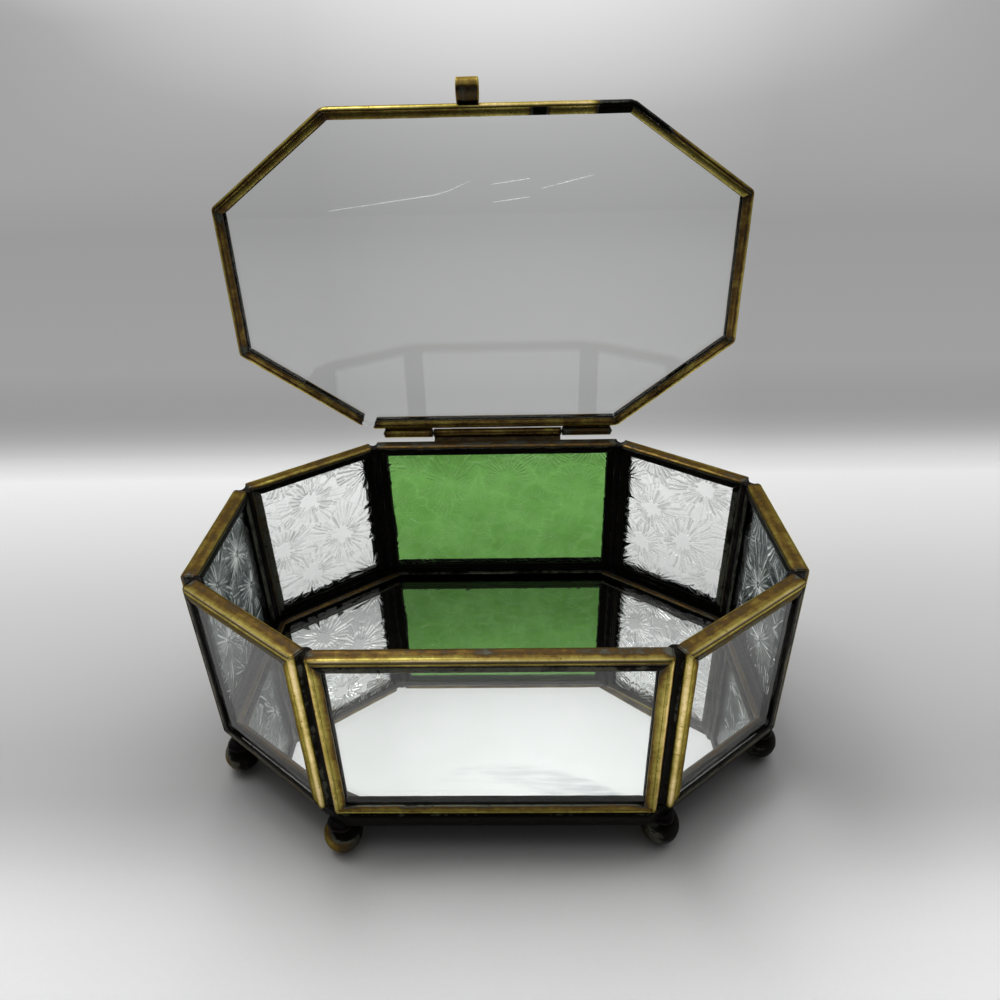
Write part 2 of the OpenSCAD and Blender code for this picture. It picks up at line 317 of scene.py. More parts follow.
# ---------------------------------------------------------------------------------------------
# Mirror in the base: a slab of float glass cut to a long octagon, silvered underneath. It lies in
# the channel of the base strip, which was cut a little short of the walls except at front and back.
# ---------------------------------------------------------------------------------------------
BASE_Z = 9.5
BASE_INSET = 1.9
MIRROR_T = 3.4
SIDE_W = 4.8
GLASS_IN = 0.8
MIRROR_Z = BASE_Z + GLASS_IN
INSIDE = np.array([
    [-41, -45.8], [41, -45.8], [75.8, -20.8], [75.8, 20.8],
    [41, 45.8], [-41, 45.8], [-75.8, 20.8], [-75.8, -20.8],
])


def edge_ways(p):
    """Unit way of the edge that leaves each corner, and each edge's outward normal."""
    edge = np.roll(p, -1, 0) - p
    edge = edge / np.linalg.norm(edge, axis=1, keepdims=True)
    return edge, np.stack([edge[:, 1], -edge[:, 0]], 1)


def corner_out(p):
    """At each corner, the vector that moves both its edges out by one: the sum of their outward
    normals over one plus their dot product."""
    normal = edge_ways(p)[1]
    last = np.roll(normal, 1, 0)
    return (last + normal) / (1 + np.sum(last * normal, 1, keepdims=True))


def grow(p, by):
    """Outline p with every edge moved out."""
    return p + by * corner_out(p)


def move_edges(p, by):
    """Outline p with each edge moved out by its own distance."""
    normal = edge_ways(p)[1]
    last = np.roll(normal, 1, 0)
    dot = np.sum(last * normal, 1, keepdims=True)
    s1, s2 = np.roll(by, 1)[:, None], by[:, None]
    return p + (s1 * (last - dot * normal) + s2 * (normal - dot * last)) / (1 - dot ** 2)


def glass_material(name, tint, passes, ior=1.5, deep_tint=None, glint=(0.97, 0.98, 0.98, 1)):
    """Solid glass. Rays that look for a lamp pass each of its faces with the share that is given,
    so that it casts a faint shadow.
    A patterned pane has a deeper tint where its patch says, is clearer where its glint says, is
    frosted where its frost says and black where its edge says."""
    n = Nodes(name)
    values = {"Base Color": tint, "Roughness": 0.0, "IOR": ior, "Transmission Weight": 1.0}
    if deep_tint:
        frost, edge = n.point("frost"), n.point("edge")
        colour = n.mix(n.point("patch"), tint, deep_tint)
        colour = n.mix(n.point("glint"), colour, glint)
        colour = n.mix(frost, colour, (0.93, 0.96, 0.95, 1))
        values["Base Color"] = n.mix(edge, colour, (0.004, 0.004, 0.004, 1))
        clear = n.math("SUBTRACT", 1.0, frost)
        values["Transmission Weight"] = n.math("MULTIPLY", clear, n.math("SUBTRACT", 1.0, edge))
    glass = n("ShaderNodeBsdfPrincipled", values)
    clear = n("ShaderNodeBsdfTransparent", {"Color": (passes, passes, passes, 1)})
    path = n("ShaderNodeLightPath").outputs["Is Shadow Ray"]
    both = n("ShaderNodeMixShader", {0: path, 1: glass.outputs[0], 2: clear.outputs[0]})
    return n.finish(both.outputs[0])


# Upper and lower edge of an arc of haze in the silvering: where its top lies along the box's depth,
# how fast it falls to the sides, where its top is across the box, and how soft it is
HAZE_ARCS = [(-31.5, 0.0088, 1.0, 1.5), (-36.0, 0.0110, -6.0, 2.2)]


def silver_material():
    """Silvering seen through the slab, with faint clouding and an arc of haze near the front."""
    n = Nodes("silvering")
    place = n.place()
    cloud = n.noise(place, 60.0, 4.0)
    colour = n.ramp(cloud, [(0.3, (0.91, 0.92, 0.91)), (0.7, (0.95, 0.955, 0.95))])
    axes = n("ShaderNodeSeparateXYZ", {0: place}).outputs
    bands = []
    for top, fall, middle, soft in HAZE_ARCS:
        off = n.math("SUBTRACT", axes["X"], middle * MM)
        arc = n.math("MULTIPLY", n.math("MULTIPLY", off, off), fall / MM)
        under = n.math("SUBTRACT", n.math("SUBTRACT", top * MM, axes["Y"]), arc)
        bands.append(n.math("DIVIDE", under, soft * MM, clamp=True))
    haze = n.math("SUBTRACT", bands[0], bands[1], clamp=True)
    wiped = n("ShaderNodeMapping", {"Vector": place, "Scale": (0.12, 1.0, 1.0)}).outputs[0]
    grain = n.ramp(n.noise(wiped, 900.0, 3.0), [(0.35, 0.2), (0.62, 0.8)])
    right = n.math("MULTIPLY_ADD", axes["X"], 18.0, clamp=True, c=0.4)
    haze = n.math("MULTIPLY", n.math("MULTIPLY", haze, grain), right)
    colour = n.mix(haze, colour, (0.58, 0.61, 0.625, 1))
    metal = n("ShaderNodeBsdfPrincipled", {"Base Color": colour, "Metallic": 1.0, "Roughness": 0.012})
    return n.finish(metal.outputs[0])


def paint_material():
    """Grey paint that seals the silvering."""
    n = Nodes("back_paint")
    grain = n.noise(n.place(), 500.0, 4.0)
    colour = n.ramp(grain, [(0.3, (0.045, 0.047, 0.05)), (0.7, (0.07, 0.072, 0.075))])
    return n.finish(n("ShaderNodeBsdfPrincipled", {"Base Color": colour, "Roughness": 0.7}).outputs[0])


def plate_faces(k, start=0):
    """Bottom, top and walls of a plate between two outlines of k corners."""
    ring = np.arange(k) + start
    after = np.roll(ring, -1)
    walls = np.stack([ring, after, after + k, ring + k], 1)
    return [ring[::-1].tolist(), (ring + k).tolist()] + walls.tolist()


def plates(name, outline, levels, material):
    """Flat-faced plates, each between two heights, as one piece."""
    k = len(outline)
    points, faces = [], []
    for j, (low, high) in enumerate(levels):
        points += [np.c_[outline, np.full(k, low)], np.c_[outline, np.full(k, high)]]
        faces += plate_faces(k, 2 * k * j)
    return put_mesh(name, np.concatenate(points), faces, material)


OUTSIDE = grow(INSIDE, SIDE_W)
BASE = move_edges(OUTSIDE, -BASE_INSET * np.array([0, 1, 1, 1, 0, 1, 1, 1.0]))
CLEAR = (0.985, 0.995, 0.99, 1)
clear_glass = glass_material("clear_glass", CLEAR, 0.95)
slab, paint = (MIRROR_Z, MIRROR_Z + MIRROR_T), (MIRROR_Z - 0.09, MIRROR_Z - 0.01)
mirror = plates("mirror", grow(BASE, -GLASS_IN), [slab, paint], clear_glass)
mirror.data.materials.append(silver_material())
mirror.data.materials.append(paint_material())
# The slab's underside is silver, its other nine faces are glass and the lower plate is paint
mirror.data.polygons.foreach_set("material_index", np.repeat([1, 0, 2], [1, 9, 10]).astype(np.int32))
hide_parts("base_mirror")
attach(mirror, "box")

# ---------------------------------------------------------------------------------------------
# Brass strip ("came"): thin sheet rolled to a channel, folded round each pane and notched at the corners
# so that its flanges meet in a mitre. Handled edges are worn bright, and round its ridge it also carries a
# painted highlight; the rest is tarnished.
# ---------------------------------------------------------------------------------------------
BASE_H = 5.0
BASE_LEG = 6.0
CAME_WALL = 0.6
CAME_ROUND = 1.35
CREASE = CAME_ROUND + 0.15
SLIT = 0.14
# Waves and dents of the strip, long and short, and how far it gives way at its corners
WAVE, SHORT_WAVE, CORNER_EASE = 0.05, 0.02, 0.25
DENT, CORNER_DENT = 0.06, 0.12
# Distances from a strip's ends at which it has points, and how far apart the others are
END_STEPS = np.array([0, 0.15, 0.35, 0.7, 1.2, 1.9])
STRIP_STEP = 1.6
# How much wear and painted highlight brighten, how much the darkening at lip, crease and web darkens, and
# how dark the channel is
WEAR_AND_HIGHLIGHT, DARKENING, CHANNEL_DARK = 0.32, 0.4, 1.3


def ripple(points, size, seed):
    """Smooth unevenness at points in millimetres, from about -1 to 1: 1.6 times the mean of seven
    sine waves of about the given length, each in its own way."""
    rng = np.random.default_rng(seed)
    ways = rng.normal(size=(7, 3))
    length = np.linalg.norm(ways, axis=1, keepdims=True)
    ways *= (2 * np.pi / size * rng.uniform(0.6, 1.5, (7, 1))) / length
    return np.sin(points @ ways.T + rng.uniform(0, 2 * np.pi, 7)).mean(-1) * 1.6


def store(obj, name, values):
    """Keeps a number or a vector for each point of the mesh, for its material to read."""
    kind = "FLOAT_VECTOR" if values.ndim == 2 else "FLOAT"
    layer = obj.data.attributes.new(name, kind, "POINT")
    layer.data.foreach_set("vector" if values.ndim == 2 else "value", values.astype(np.float32).ravel())


def keep_tarnish_and_shading(obj, dark, run):
    """Keeps a brass piece's darkness, patina with painted shade and highlights in places, and its points
    unrolled flat for the streaks.
    """
    store(obj, "tarnish_and_shading", dark.ravel())
    store(obj, "run", run)


def volume(points, faces):
    """Volume inside a closed mesh: a sixth of the sum, over its triangles, of each corner's
    product with the cross product of the other two."""
    total = 0.0
    quads = np.array([f for f in faces if len(f) == 4])
    if len(quads):
        a, b, c, e = (points[quads[:, i]] for i in range(4))
        total = np.sum(a * np.cross(b, c)) + np.sum(a * np.cross(c, e))
    for f in faces:
        if len(f) != 4:
            p = points[f]
            total += np.sum(p[0] * np.cross(p[1:-1], p[2:]))
    return total / 6


def outward(points, faces):
    """Faces of a closed mesh, turned outward."""
    return [f[::-1] for f in faces] if volume(points, faces) < 0 else faces


def bar_faces(rows, cols, start=0):
    """Faces of a bar from rows rings of cols points each, with both its ends filled."""
    ring = np.arange(cols) + start
    sides = grid_quads(rows, cols, close_cols=True) + start
    return sides.tolist() + [ring[::-1].tolist(), (ring + (rows - 1) * cols).tolist()]


def solid(name, points, faces, material, sharp=48):
    """Closed smooth piece with its faces turned outward."""
    obj = put_mesh(name, points, outward(points, faces), material)
    obj.data.shade_smooth()
    obj.data.set_sharp_from_angle(angle=math.radians(sharp))
    return obj


def came_section(width, leg):
    """The strip's section as depth from its outer edge and height from one face, with how much each point
    is brightened, by wear and, round the ridge, by a painted highlight, how much it is darkened at the
    lip, the crease and the web, and which points are in the channel. Outside, each half runs from the
    flange's lip along a slightly bowed flange, over a crease, round a corner and across half of a slightly
    hollow web. The other half is its mirror image."""
    bow = np.linspace(leg - 0.15, CREASE + 0.25, 8)
    turn = np.linspace(np.pi / 2, np.pi, 11)
    web = np.linspace(width - CAME_ROUND, width / 2, 4)[1:]
    d = np.r_[leg, leg, bow, CREASE + 0.1, CREASE, CAME_ROUND + CAME_ROUND * np.cos(turn),
              0.06 * (1 - ((web - width / 2) / (width / 2 - CAME_ROUND)) ** 2)]
    mid = (leg + CREASE) / 2
    h = np.r_[width - CAME_WALL, width - 0.15,
              width - 0.08 * ((bow - mid) / (leg - mid)) ** 2, width - 0.15, width - 0.07,
              width - CAME_ROUND + CAME_ROUND * np.sin(turn), web]
    # Wear and painted highlight, brightest round the middle of the rounded corner
    ridge_wear_and_highlight = np.exp(-((turn - 2.3) / 0.42) ** 2)
    brightening = np.r_[0.1, 0.3, 0.25, np.zeros(7), 0, 0.3, ridge_wear_and_highlight, np.zeros(3)]
    darkening = np.r_[0.5, 0.35, 0.1, np.zeros(7), 0.4, 0.22, 0.05, np.zeros(10), 0.06, 0.1, 0.12]
    inner_d = np.array([leg, CAME_WALL, CAME_WALL])
    inner_h = np.array([CAME_WALL, CAME_WALL, width - CAME_WALL])
    channel = np.r_[np.zeros(2 * len(d) - 2), np.ones(3)]
    d = np.r_[d, d[-2:0:-1], inner_d]
    h = np.r_[h, width - h[-2:0:-1], inner_h]
    brightening = np.r_[brightening, brightening[-2:0:-1], 0, 0, 0]
    darkening = np.r_[darkening, darkening[-2:0:-1], 0, 0, 0]
    return d, h, brightening, darkening, channel


def came_ring(name, outline, width, leg, place, tarnish_and_shading, material, cut=None, cut_gap=0.0, seed=0):
    """Strips folded round an outline. A strip's point at depth d lies on the line between its two corners,
    each moved in by d, so that strips meet on the mitre, and the flanges stop half a slit before it. Its
    two ends stand apart at the corner that is cut. place turns flat points into the box's frame. The given
    function gives each point's darkness, from 0, bright, to 1, black, by edge, height share, depth,
    distance to the strip's nearer end and place; the section then adds its wear and painted highlights and
    its darkening."""
    edge = edge_ways(outline)[0]
    out = corner_out(outline)
    d, h, brightening, darkening, channel = came_section(width, leg)
    k = len(d)
    all_points, all_faces, runs, dull = [], [], [], []
    across = np.cumsum(np.r_[0, np.hypot(np.diff(d), np.diff(h))])
    count = 0
    for i in range(len(outline)):
        j = (i + 1) % len(outline)
        stop = SLIT / 2 * np.clip((d - CAME_WALL) / 0.3, 0, 1)
        first = stop + (cut_gap / 2 * np.linalg.norm(out[i]) if i == cut else 0)
        last = stop + (cut_gap / 2 * np.linalg.norm(out[j]) if j == cut else 0)
        start = outline[i] - d[:, None] * out[i] + first[:, None] * edge[i]
        end = outline[j] - d[:, None] * out[j] - last[:, None] * edge[i]
        length = np.linalg.norm(outline[j] - outline[i])
        even = np.linspace(3, length - 3, max(int(length / STRIP_STEP), 4))
        along = np.r_[END_STEPS, even, length - END_STEPS[::-1]]
        share = (along / length)[:, None, None]
        flat = start * (1 - share) + end * share
        to_end = np.minimum(along, length - along)[:, None] + 0 * d
        flat3 = np.concatenate([flat, np.broadcast_to(h[None, :, None], flat.shape[:2] + (1,))], -1)
        world = place(flat3[..., 0], flat3[..., 1], flat3[..., 2])
        wave = ripple(world, 16, seed) * WAVE + ripple(world, 5, seed + 1) * SHORT_WAVE
        ease = CORNER_EASE * np.exp(-((to_end / 0.45) ** 2)) * (d < 1.2)
        inward = np.array([-edge[i][1], edge[i][0]])
        flat3[..., :2] += ((np.abs(wave) + ease) * (channel == 0))[..., None] * inward
        lift = np.sign(h - width / 2) * (np.abs(h - width / 2) > 0.01) * (channel == 0)
        dent = np.abs(ripple(world, 9, seed + 2)) * DENT + CORNER_DENT * np.exp(-((to_end / 0.5) ** 2))
        flat3[..., 2] -= lift * dent * (d > 1.0)
        world = place(flat3[..., 0], flat3[..., 1], flat3[..., 2])
        dark = tarnish_and_shading(i, (h / width)[None, :] + 0 * to_end, d[None, :] + 0 * to_end, to_end, world)
        dark = dark - WEAR_AND_HIGHLIGHT * brightening + DARKENING * darkening
        dull.append(np.where(channel > 0, CHANNEL_DARK, dark).ravel())
        runs.append(join(along[:, None], across[None, :], 37.0 * i + seed))
        all_points.append(world.reshape(-1, 3))
        all_faces += bar_faces(len(along), k, count)
        count += len(along) * k
    ring = solid(name, np.concatenate(all_points), all_faces, material)
    keep_tarnish_and_shading(ring, np.concatenate(dull), np.concatenate(runs))
    return ring


BRASS_STOPS = [
    (0.0, (0.85, 0.68, 0.36)), (0.15, (0.60, 0.46, 0.17)), (0.30, (0.35, 0.295, 0.075)),
    (0.44, (0.22, 0.182, 0.042)), (0.55, (0.15, 0.098, 0.026)), (0.65, (0.075, 0.043, 0.014)),
    (0.74, (0.040, 0.026, 0.013)), (0.80, (0.058, 0.061, 0.050)), (0.88, (0.048, 0.052, 0.043)),
    (0.95, (0.006, 0.006, 0.0055)), (1.0, (0.0015, 0.0015, 0.0015)),
]
# How far clouds, mottling and streaks shift the tarnish
CLOUD, MOTTLE, STREAK = 0.50, 0.34, 0.24


def brass_material(name):
    """Aged brass. Its darkness is what the piece says, patina with painted shade and highlights in places,
    plus cloudy blotches, streaks along the strip and small pits; the colour runs from worn gold over brown
    to grey-green and black."""
    n = Nodes(name)
    place = n.place()
    cloud = n.noise(place, 150.0, 4.0, 0.55)
    mottle = n.noise(place, 700.0, 3.0, 0.6)
    stretch = n("ShaderNodeMapping", {"Vector": n.point("run", True), "Scale": (0.05, 0.8, 1.0)})
    streak = n.noise(stretch.outputs[0], 1.0, 3.0, 0.55)
    pits = n.noise(place, 1500.0, 1.0, 0.4)
    pit = n.math("MULTIPLY", n.math("SUBTRACT", pits, 0.67, clamp=True), 3.0)
    tarnish_and_shading = n.point("tarnish_and_shading")
    uneven = n.swing(cloud, CLOUD), n.swing(mottle, MOTTLE), n.swing(streak, STREAK)
    total = n.math("ADD", n.total(tarnish_and_shading, *uneven, pit), 0.0, clamp=True)
    colour = n.ramp(total, BRASS_STOPS)
    rough = n.ramp(total, [(0.0, 0.17), (0.35, 0.27), (0.7, 0.36), (1.0, 0.42)])
    metal = n.ramp(total, [(0.62, 1.0), (0.8, 0.55), (0.93, 0.0)])
    shine = n.ramp(total, [(0.75, 0.35), (0.88, 0.2), (0.95, 0.05)])
    height = n.total(n.math("MULTIPLY", streak, 0.4), n.math("MULTIPLY", mottle, 0.5))
    bump = n("ShaderNodeBump", {"Strength": 0.35, "Distance": 0.0001, "Height": height}).outputs[0]
    return n.finish(n("ShaderNodeBsdfPrincipled", {
        "Base Color": colour, "Metallic": metal, "Roughness": rough, "Normal": bump,
        "Specular IOR Level": shine, "Specular Tint": (0.92, 0.78, 0.46, 1),
    }).outputs[0])


came_brass = brass_material("came_brass")


BASE_DARK = 1.25
LIP_RUBBED, BACK_LIP_RUBBED = 0.54, 0.32


def base_place(x, y, h):
    """The base ring lies flat."""
    return np.stack([x, y, h + BASE_Z], -1)


def base_tarnish(edge, height, depth, to_end, point):
    """Black, with brown showing along the lip that frames the mirror, but less at the back."""
    return BASE_DARK - (BACK_LIP_RUBBED if edge == 4 else LIP_RUBBED) * (height > 0.8) * (depth > 4.6)


ring = came_ring("base_came", BASE, BASE_H, BASE_LEG, base_place, base_tarnish, came_brass, seed=11)
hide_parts("base_frame")
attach(ring, "box")

# ---------------------------------------------------------------------------------------------
# Eight side panels: each pane has its own brass strip folded round it. Outside, the strip is worn
# gold, or grey where patina ran on it; inside it was blackened with the solder.
# ---------------------------------------------------------------------------------------------
PANEL_H = 53.0
WALL_Z = BASE_Z + BASE_H
RIM_Z = WALL_Z + PANEL_H
CAME_LEG = 3.4
# How far out from the inside faces solder fills the corners
SEAM_FILL = 3.3
SIDES = ["front", "front_right", "right", "back_right", "back", "back_left", "left", "front_left"]
FRAME_GAP = 0.2
EDGE, NORMAL = edge_ways(INSIDE)
LENGTHS = np.linalg.norm(np.roll(INSIDE, -1, 0) - INSIDE, axis=1) - 2 * FRAME_GAP
# Tarnish of the bottom, far, top and near flange of a side, going anticlockwise seen from outside
OUTER = {
    "front": (0.42, 0.35, 0.86, 0.35), "front_left": (0.80, 0.35, 0.74, 0.84),
    "front_right": (0.80, 0.84, 0.74, 0.35),
}
OUTER_REST = (0.78, 0.74, 0.5, 0.74)
INNER = {
    "back_left": (1.04, 0.80, 1.04, 1.1), "back_right": (1.04, 1.1, 1.04, 0.88),
    "back": (1.12, 1.1, 1.06, 1.1), "left": (1.06, 1.0, 1.04, 0.90), "right": (1.06, 0.90, 1.04, 1.04),
}
INNER_REST = (1.04, 1.0, 1.04, 1.0)
# Tarnish of the top's web on its inner and its outer side
WEB = {
    "front": (0.70, 0.54), "front_left": (0.69, 0.57), "front_right": (0.65, 0.56), "back": (0.77, 0.71),
    "back_left": (0.62, 0.52), "back_right": (0.70, 0.56),
}
WEB_REST = (0.65, 0.54)
TOP = 2
# The first number darkens flanges towards their lip, a painted shade; the last brightens the front tops'
# ridge, wear and a painted highlight
LIP_SHADE, END_GRIME, GROOVE_DARK, RIDGE_WEAR_AND_HIGHLIGHT = 0.30, 0.16, 1.05, 0.30


def stand(i):
    """Turns flat points of side i upright: x along the wall, y up and h outward from its inner
    face."""
    e, o = EDGE[i], NORMAL[i]

    def place(x, y, h):
        flat = INSIDE[i] + e * (np.asarray(x)[..., None] + FRAME_GAP) + o * np.asarray(h)[..., None]
        return np.concatenate([flat, (np.asarray(y) + WALL_Z)[..., None]], -1)

    return place


def side_tarnish_and_shading(side):
    """Tarnish of one side's strips, with painted light in places. The web of the top goes from its inner
    to its outer tone; that of the uprights and the bottom lies in a groove and is black. Flanges are
    painted darker towards their lip, a painted shade that makes them look rounded, and strips are darker
    near their ends. On the front sides the top's ridge is brighter, by wear and a painted highlight."""
    outer, inner = OUTER.get(side, OUTER_REST), INNER.get(side, INNER_REST)
    web_in, web_out = WEB.get(side, WEB_REST)

    def tarnish_and_shading(edge, height, depth, to_end, point):
        # Painted shade: flanges are darker towards their lip, so that they look rounded
        lip = np.clip((depth - 1.9) / 1.4, 0, 1) * (LIP_SHADE if edge != TOP else 0.0)
        face = np.where(height > 0.5, outer[edge] + lip, inner[edge])
        if edge == TOP:
            web = web_in + (web_out - web_in) * np.clip((height - 0.15) / 0.5, 0, 1)
            web = web + 0.22 * np.clip((0.22 - height) / 0.2, 0, 1)
            share = np.clip((CAME_ROUND + 0.1 - depth) / 0.25, 0, 1)
            if side.startswith("front"):
                # Wear and painted highlight: the ridge of the front sides' tops is brighter
                web = web - RIDGE_WEAR_AND_HIGHLIGHT * np.exp(-(((depth - 0.42) / 0.3) ** 2)) * (height > 0.6)
        else:
            web = GROOVE_DARK
            share = np.clip((0.2 - depth) / 0.16, 0, 1) * (height * SIDE_W < SEAM_FILL)
        dark = face + (web - face) * share
        dark = dark + END_GRIME * np.exp(-((to_end / 1.8) ** 2))
        if side == "front" and edge == TOP:  # two darker spots on the front rail
            spot = np.exp(-(((point[..., 0] + 0.5) / 4.5) ** 4)) * (height < 0.8)
            dark = dark + 0.07 * spot + 0.07 * np.exp(-(((point[..., 0] - 34) / 7.0) ** 2))
        return dark

    return tarnish_and_shading


for i, side in enumerate(SIDES):
    outline = np.array([[0, 0], [LENGTHS[i], 0], [LENGTHS[i], PANEL_H], [0, PANEL_H]])
    ring = came_ring(side + "_came", outline, SIDE_W, CAME_LEG, stand(i), side_tarnish_and_shading(side), came_brass,
                     seed=20 + 3 * i)
    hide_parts(side + "_frame")
    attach(ring, "box")

# ---------------------------------------------------------------------------------------------
# Side panes. The front one and its two neighbours are clear float glass and the back one is green.
# That one, softly, and the other four are rolled with stars: petals round a smooth middle.
# ---------------------------------------------------------------------------------------------
PANE_T = 3.2
STAR_STEP = 0.22
STAR_APART = 14.0
# Least and greatest distance from its star's middle at which a groove ends
GROOVE_END = (5.2, 9.8)
# How far the grooves swing from their bearings, in radians, and how wavy a star's outline is
GROOVE_SWING = (0.05, 0.025, 0.015)
OUTLINE_WAVE = (1.4, 0.9)
# Star middles that are listed, along the pane from its middle and up from its foot
STARS = {
    "back_left": [(3.0, 40.4), (-6.4, 23.4), (14.5, 25.1)],
    "left": [(-5.7, 39.8), (7.5, 20.0)],
    "back_right": [(8.4, 31.4), (-3.7, 22.7), (-9.1, 45.4), (-15.4, 12.8)],
}


def star_middles(side, length, seed):
    """The listed middles, then random ones no nearer than a set distance to any other."""
    rng = np.random.default_rng(seed)
    found = [(x + length / 2, y) for x, y in STARS.get(side, [])]
    for x, y in rng.uniform([-6, -6], [length + 6, PANEL_H + 6], (900, 2)):
        if all((x - a) ** 2 + (y - b) ** 2 > STAR_APART ** 2 for a, b in found):
            found.append((x, y))
    return np.array(found)


def star_pattern(x, y, middles, petals, wide, hollow, seed):
    """The rolled stars. Each is a ring of petals between grooves that run outward from its smooth
    middle. A petal's height across is a root of the sine of half the groove count times the
    bearing. A groove has its own start, end and strength, and past its end others follow between
    them. At every point the star wins whose middle is nearest, give or take a wave round it, so
    that neighbours' petals interlock. Gives height, the strengths of grooves, of their flanks and
    of the smooth middles, how far inside its star a point lies, and how near to a petal's edge."""
    rng = np.random.default_rng(seed)
    best, second = np.full(x.shape, 1e9), np.full(x.shape, 1e9)
    height, groove, flank, hub, valley = (np.zeros(x.shape) for _ in range(5))
    for a, b in middles:
        count = petals + int(rng.integers(-2, 4))
        phase = rng.uniform(0, 2 * np.pi, 4)
        reach, start = rng.uniform(*GROOVE_END, count), hollow * rng.uniform(1, 2, count)
        force, far_force = rng.uniform(0.25, 1.0, count), rng.uniform(-0.5, 1.0, 2 * count)
        r = np.hypot(x - a, y - b)
        t = np.arctan2(y - b, x - a)
        t = t + GROOVE_SWING[0] * np.sin(3 * t + phase[1]) + GROOVE_SWING[1] * np.sin(7 * t + phase[2])
        t = t + GROOVE_SWING[2] * np.sin(0.8 * r + 4 * t + phase[3]) * np.clip((r - 5) / 4, 0, 1)
        turn = (t + phase[0]) * count / (2 * np.pi)
        k = np.round(turn).astype(int) % count
        arc = np.pi * r / count
        near = (turn - np.round(turn)) * 2 * arc
        on = np.clip((r - start[k]) / 0.8, 0, 1) * np.clip((reach[k] - r) / 1.2, 0, 1)
        k2 = np.round(2 * turn + 0.5).astype(int) % (2 * count)
        near2 = (2 * turn + 0.5 - np.round(2 * turn + 0.5)) * arc
        on2 = np.clip((r - reach[k] + 0.4) / 0.8, 0, 1) * np.clip(far_force[k2], 0, 1)
        line = np.exp(-((near / wide) ** 2)) * on * force[k] + np.exp(-((near2 / wide) ** 2)) * on2
        side = np.exp(-(((near - 1.5 * wide) / wide) ** 2)) * on * force[k]
        own = np.abs(np.sin(np.pi * turn)) ** 0.7 * on
        own = own + 0.7 * np.abs(np.sin(2 * np.pi * turn)) ** 0.8 * on2
        rank = r + OUTLINE_WAVE[0] * np.sin(5 * t + phase[2]) + OUTLINE_WAVE[1] * np.sin(11 * t + phase[1])
        mine = rank < best
        second = np.where(mine, best, np.minimum(second, rank))
        best = np.minimum(best, rank)
        crease = (1 - np.abs(np.sin(np.pi / 2 * turn)) ** 0.9) * (0.25 + 0.75 * force[k // 2])
        core = np.exp(-((1.25 * r / hollow) ** 4))
        pairs = (own, height), (line, groove), (side, flank), (core, hub), (crease, valley)
        height, groove, flank, hub, valley = (np.where(mine, new, old) for new, old in pairs)
    inside = second - best
    groove = np.maximum(groove, 0.2 * np.exp(-((inside / 0.5) ** 2)))
    return height, groove, flank, hub, inside, valley


def star_pane(name, i, middles, look, seed):
    """Pane whose inner face carries the pattern on a fine grid, and whose outer face is flat. Along its
    black edges it is painted black, a painted image of the dark strip seen bent through the relief,
    reaching in furthest along the petals' edges, where it forms spikes."""
    material, petals, wide, hollow, deep, frost, flank_frost, glint, painted_reach, black_edges = look
    x = np.linspace(GLASS_IN, LENGTHS[i] - GLASS_IN, int((LENGTHS[i] - 2 * GLASS_IN) / STAR_STEP))
    y = np.linspace(GLASS_IN, PANEL_H - GLASS_IN, int((PANEL_H - 2 * GLASS_IN) / STAR_STEP))
    gx, gy = np.meshgrid(x, y)
    rows, cols = gx.shape
    height, groove, flank, hub, inside, valley = star_pattern(gx, gy, middles, petals, wide, hollow, seed)
    place = stand(i)
    front = place(gx, gy, GLASS_IN + deep * (1 - height)).reshape(-1, 3)
    number = np.arange(rows * cols).reshape(rows, cols)
    border = np.r_[number[0, :-1], number[:-1, -1], number[-1, :0:-1], number[:0:-1, 0]]
    back = place(gx.ravel()[border], gy.ravel()[border], np.full(len(border), GLASS_IN + PANE_T))
    far = np.arange(len(border)) + rows * cols
    walls = np.stack([border, np.roll(border, -1), np.roll(far, -1), far], 1)
    faces = grid_quads(rows, cols).tolist() + walls[:, ::-1].tolist() + [far[::-1].tolist()]
    points = np.r_[front, back]
    pane = put_mesh(name, points, outward(points, faces), material)
    pane.data.polygons.foreach_set("use_smooth", np.arange(len(faces)) < (rows - 1) * (cols - 1))
    uneven = ripple(front, 7.0, seed).reshape(gx.shape)
    broad = ripple(front * [1, 1, 1.7], 13.0, seed + 3).reshape(gx.shape)
    sight = CAME_LEG - 0.2
    gaps = {"bottom": gy - sight, "x0": gx - sight, "x1": LENGTHS[i] - sight - gx}
    # How far the painted black, an image of the strip seen through the relief, reaches in
    reach = 0.45 + 0.3 * broad + painted_reach * valley * (1 + 0.5 * uneven)
    edge = np.zeros(gx.shape)
    for which in black_edges:
        edge = np.maximum(edge, np.clip((reach - gaps[which]) / 0.2, 0, 1))
    fade = 1.0
    if hollow < 1:  # the end panes, whose pattern is fainter near the back
        from_back = gx if EDGE[i][1] < 0 else LENGTHS[i] - gx
        fade = np.clip((from_back - 5.5) / 4, 0.2, 1)
    whiten = frost * np.maximum(groove, hub * (hollow < 1)) + flank_frost * flank
    deeper = 1.2 - 0.6 * fade - 0.5 * np.exp(-((inside / 1.6) ** 2)) + 0.5 * broad
    layers = {
        "frost": np.clip(whiten * (0.85 + 0.4 * uneven) * fade, 0, 1),
        "glint": np.clip(glint * np.maximum(groove, hub) * (0.75 + 0.5 * uneven) * fade, 0, 1),
        "edge": edge,
        "patch": np.clip(deeper, 0, 1),
    }
    for key, values in layers.items():
        store(pane, key, np.r_[values.ravel(), np.zeros(len(border))])
    return pane


float_glass = glass_material("float_glass", CLEAR, 0.95, ior=1.36)
pattern_glass = glass_material("pattern_glass", CLEAR, 0.8, deep_tint=(0.97, 0.985, 0.98, 1))
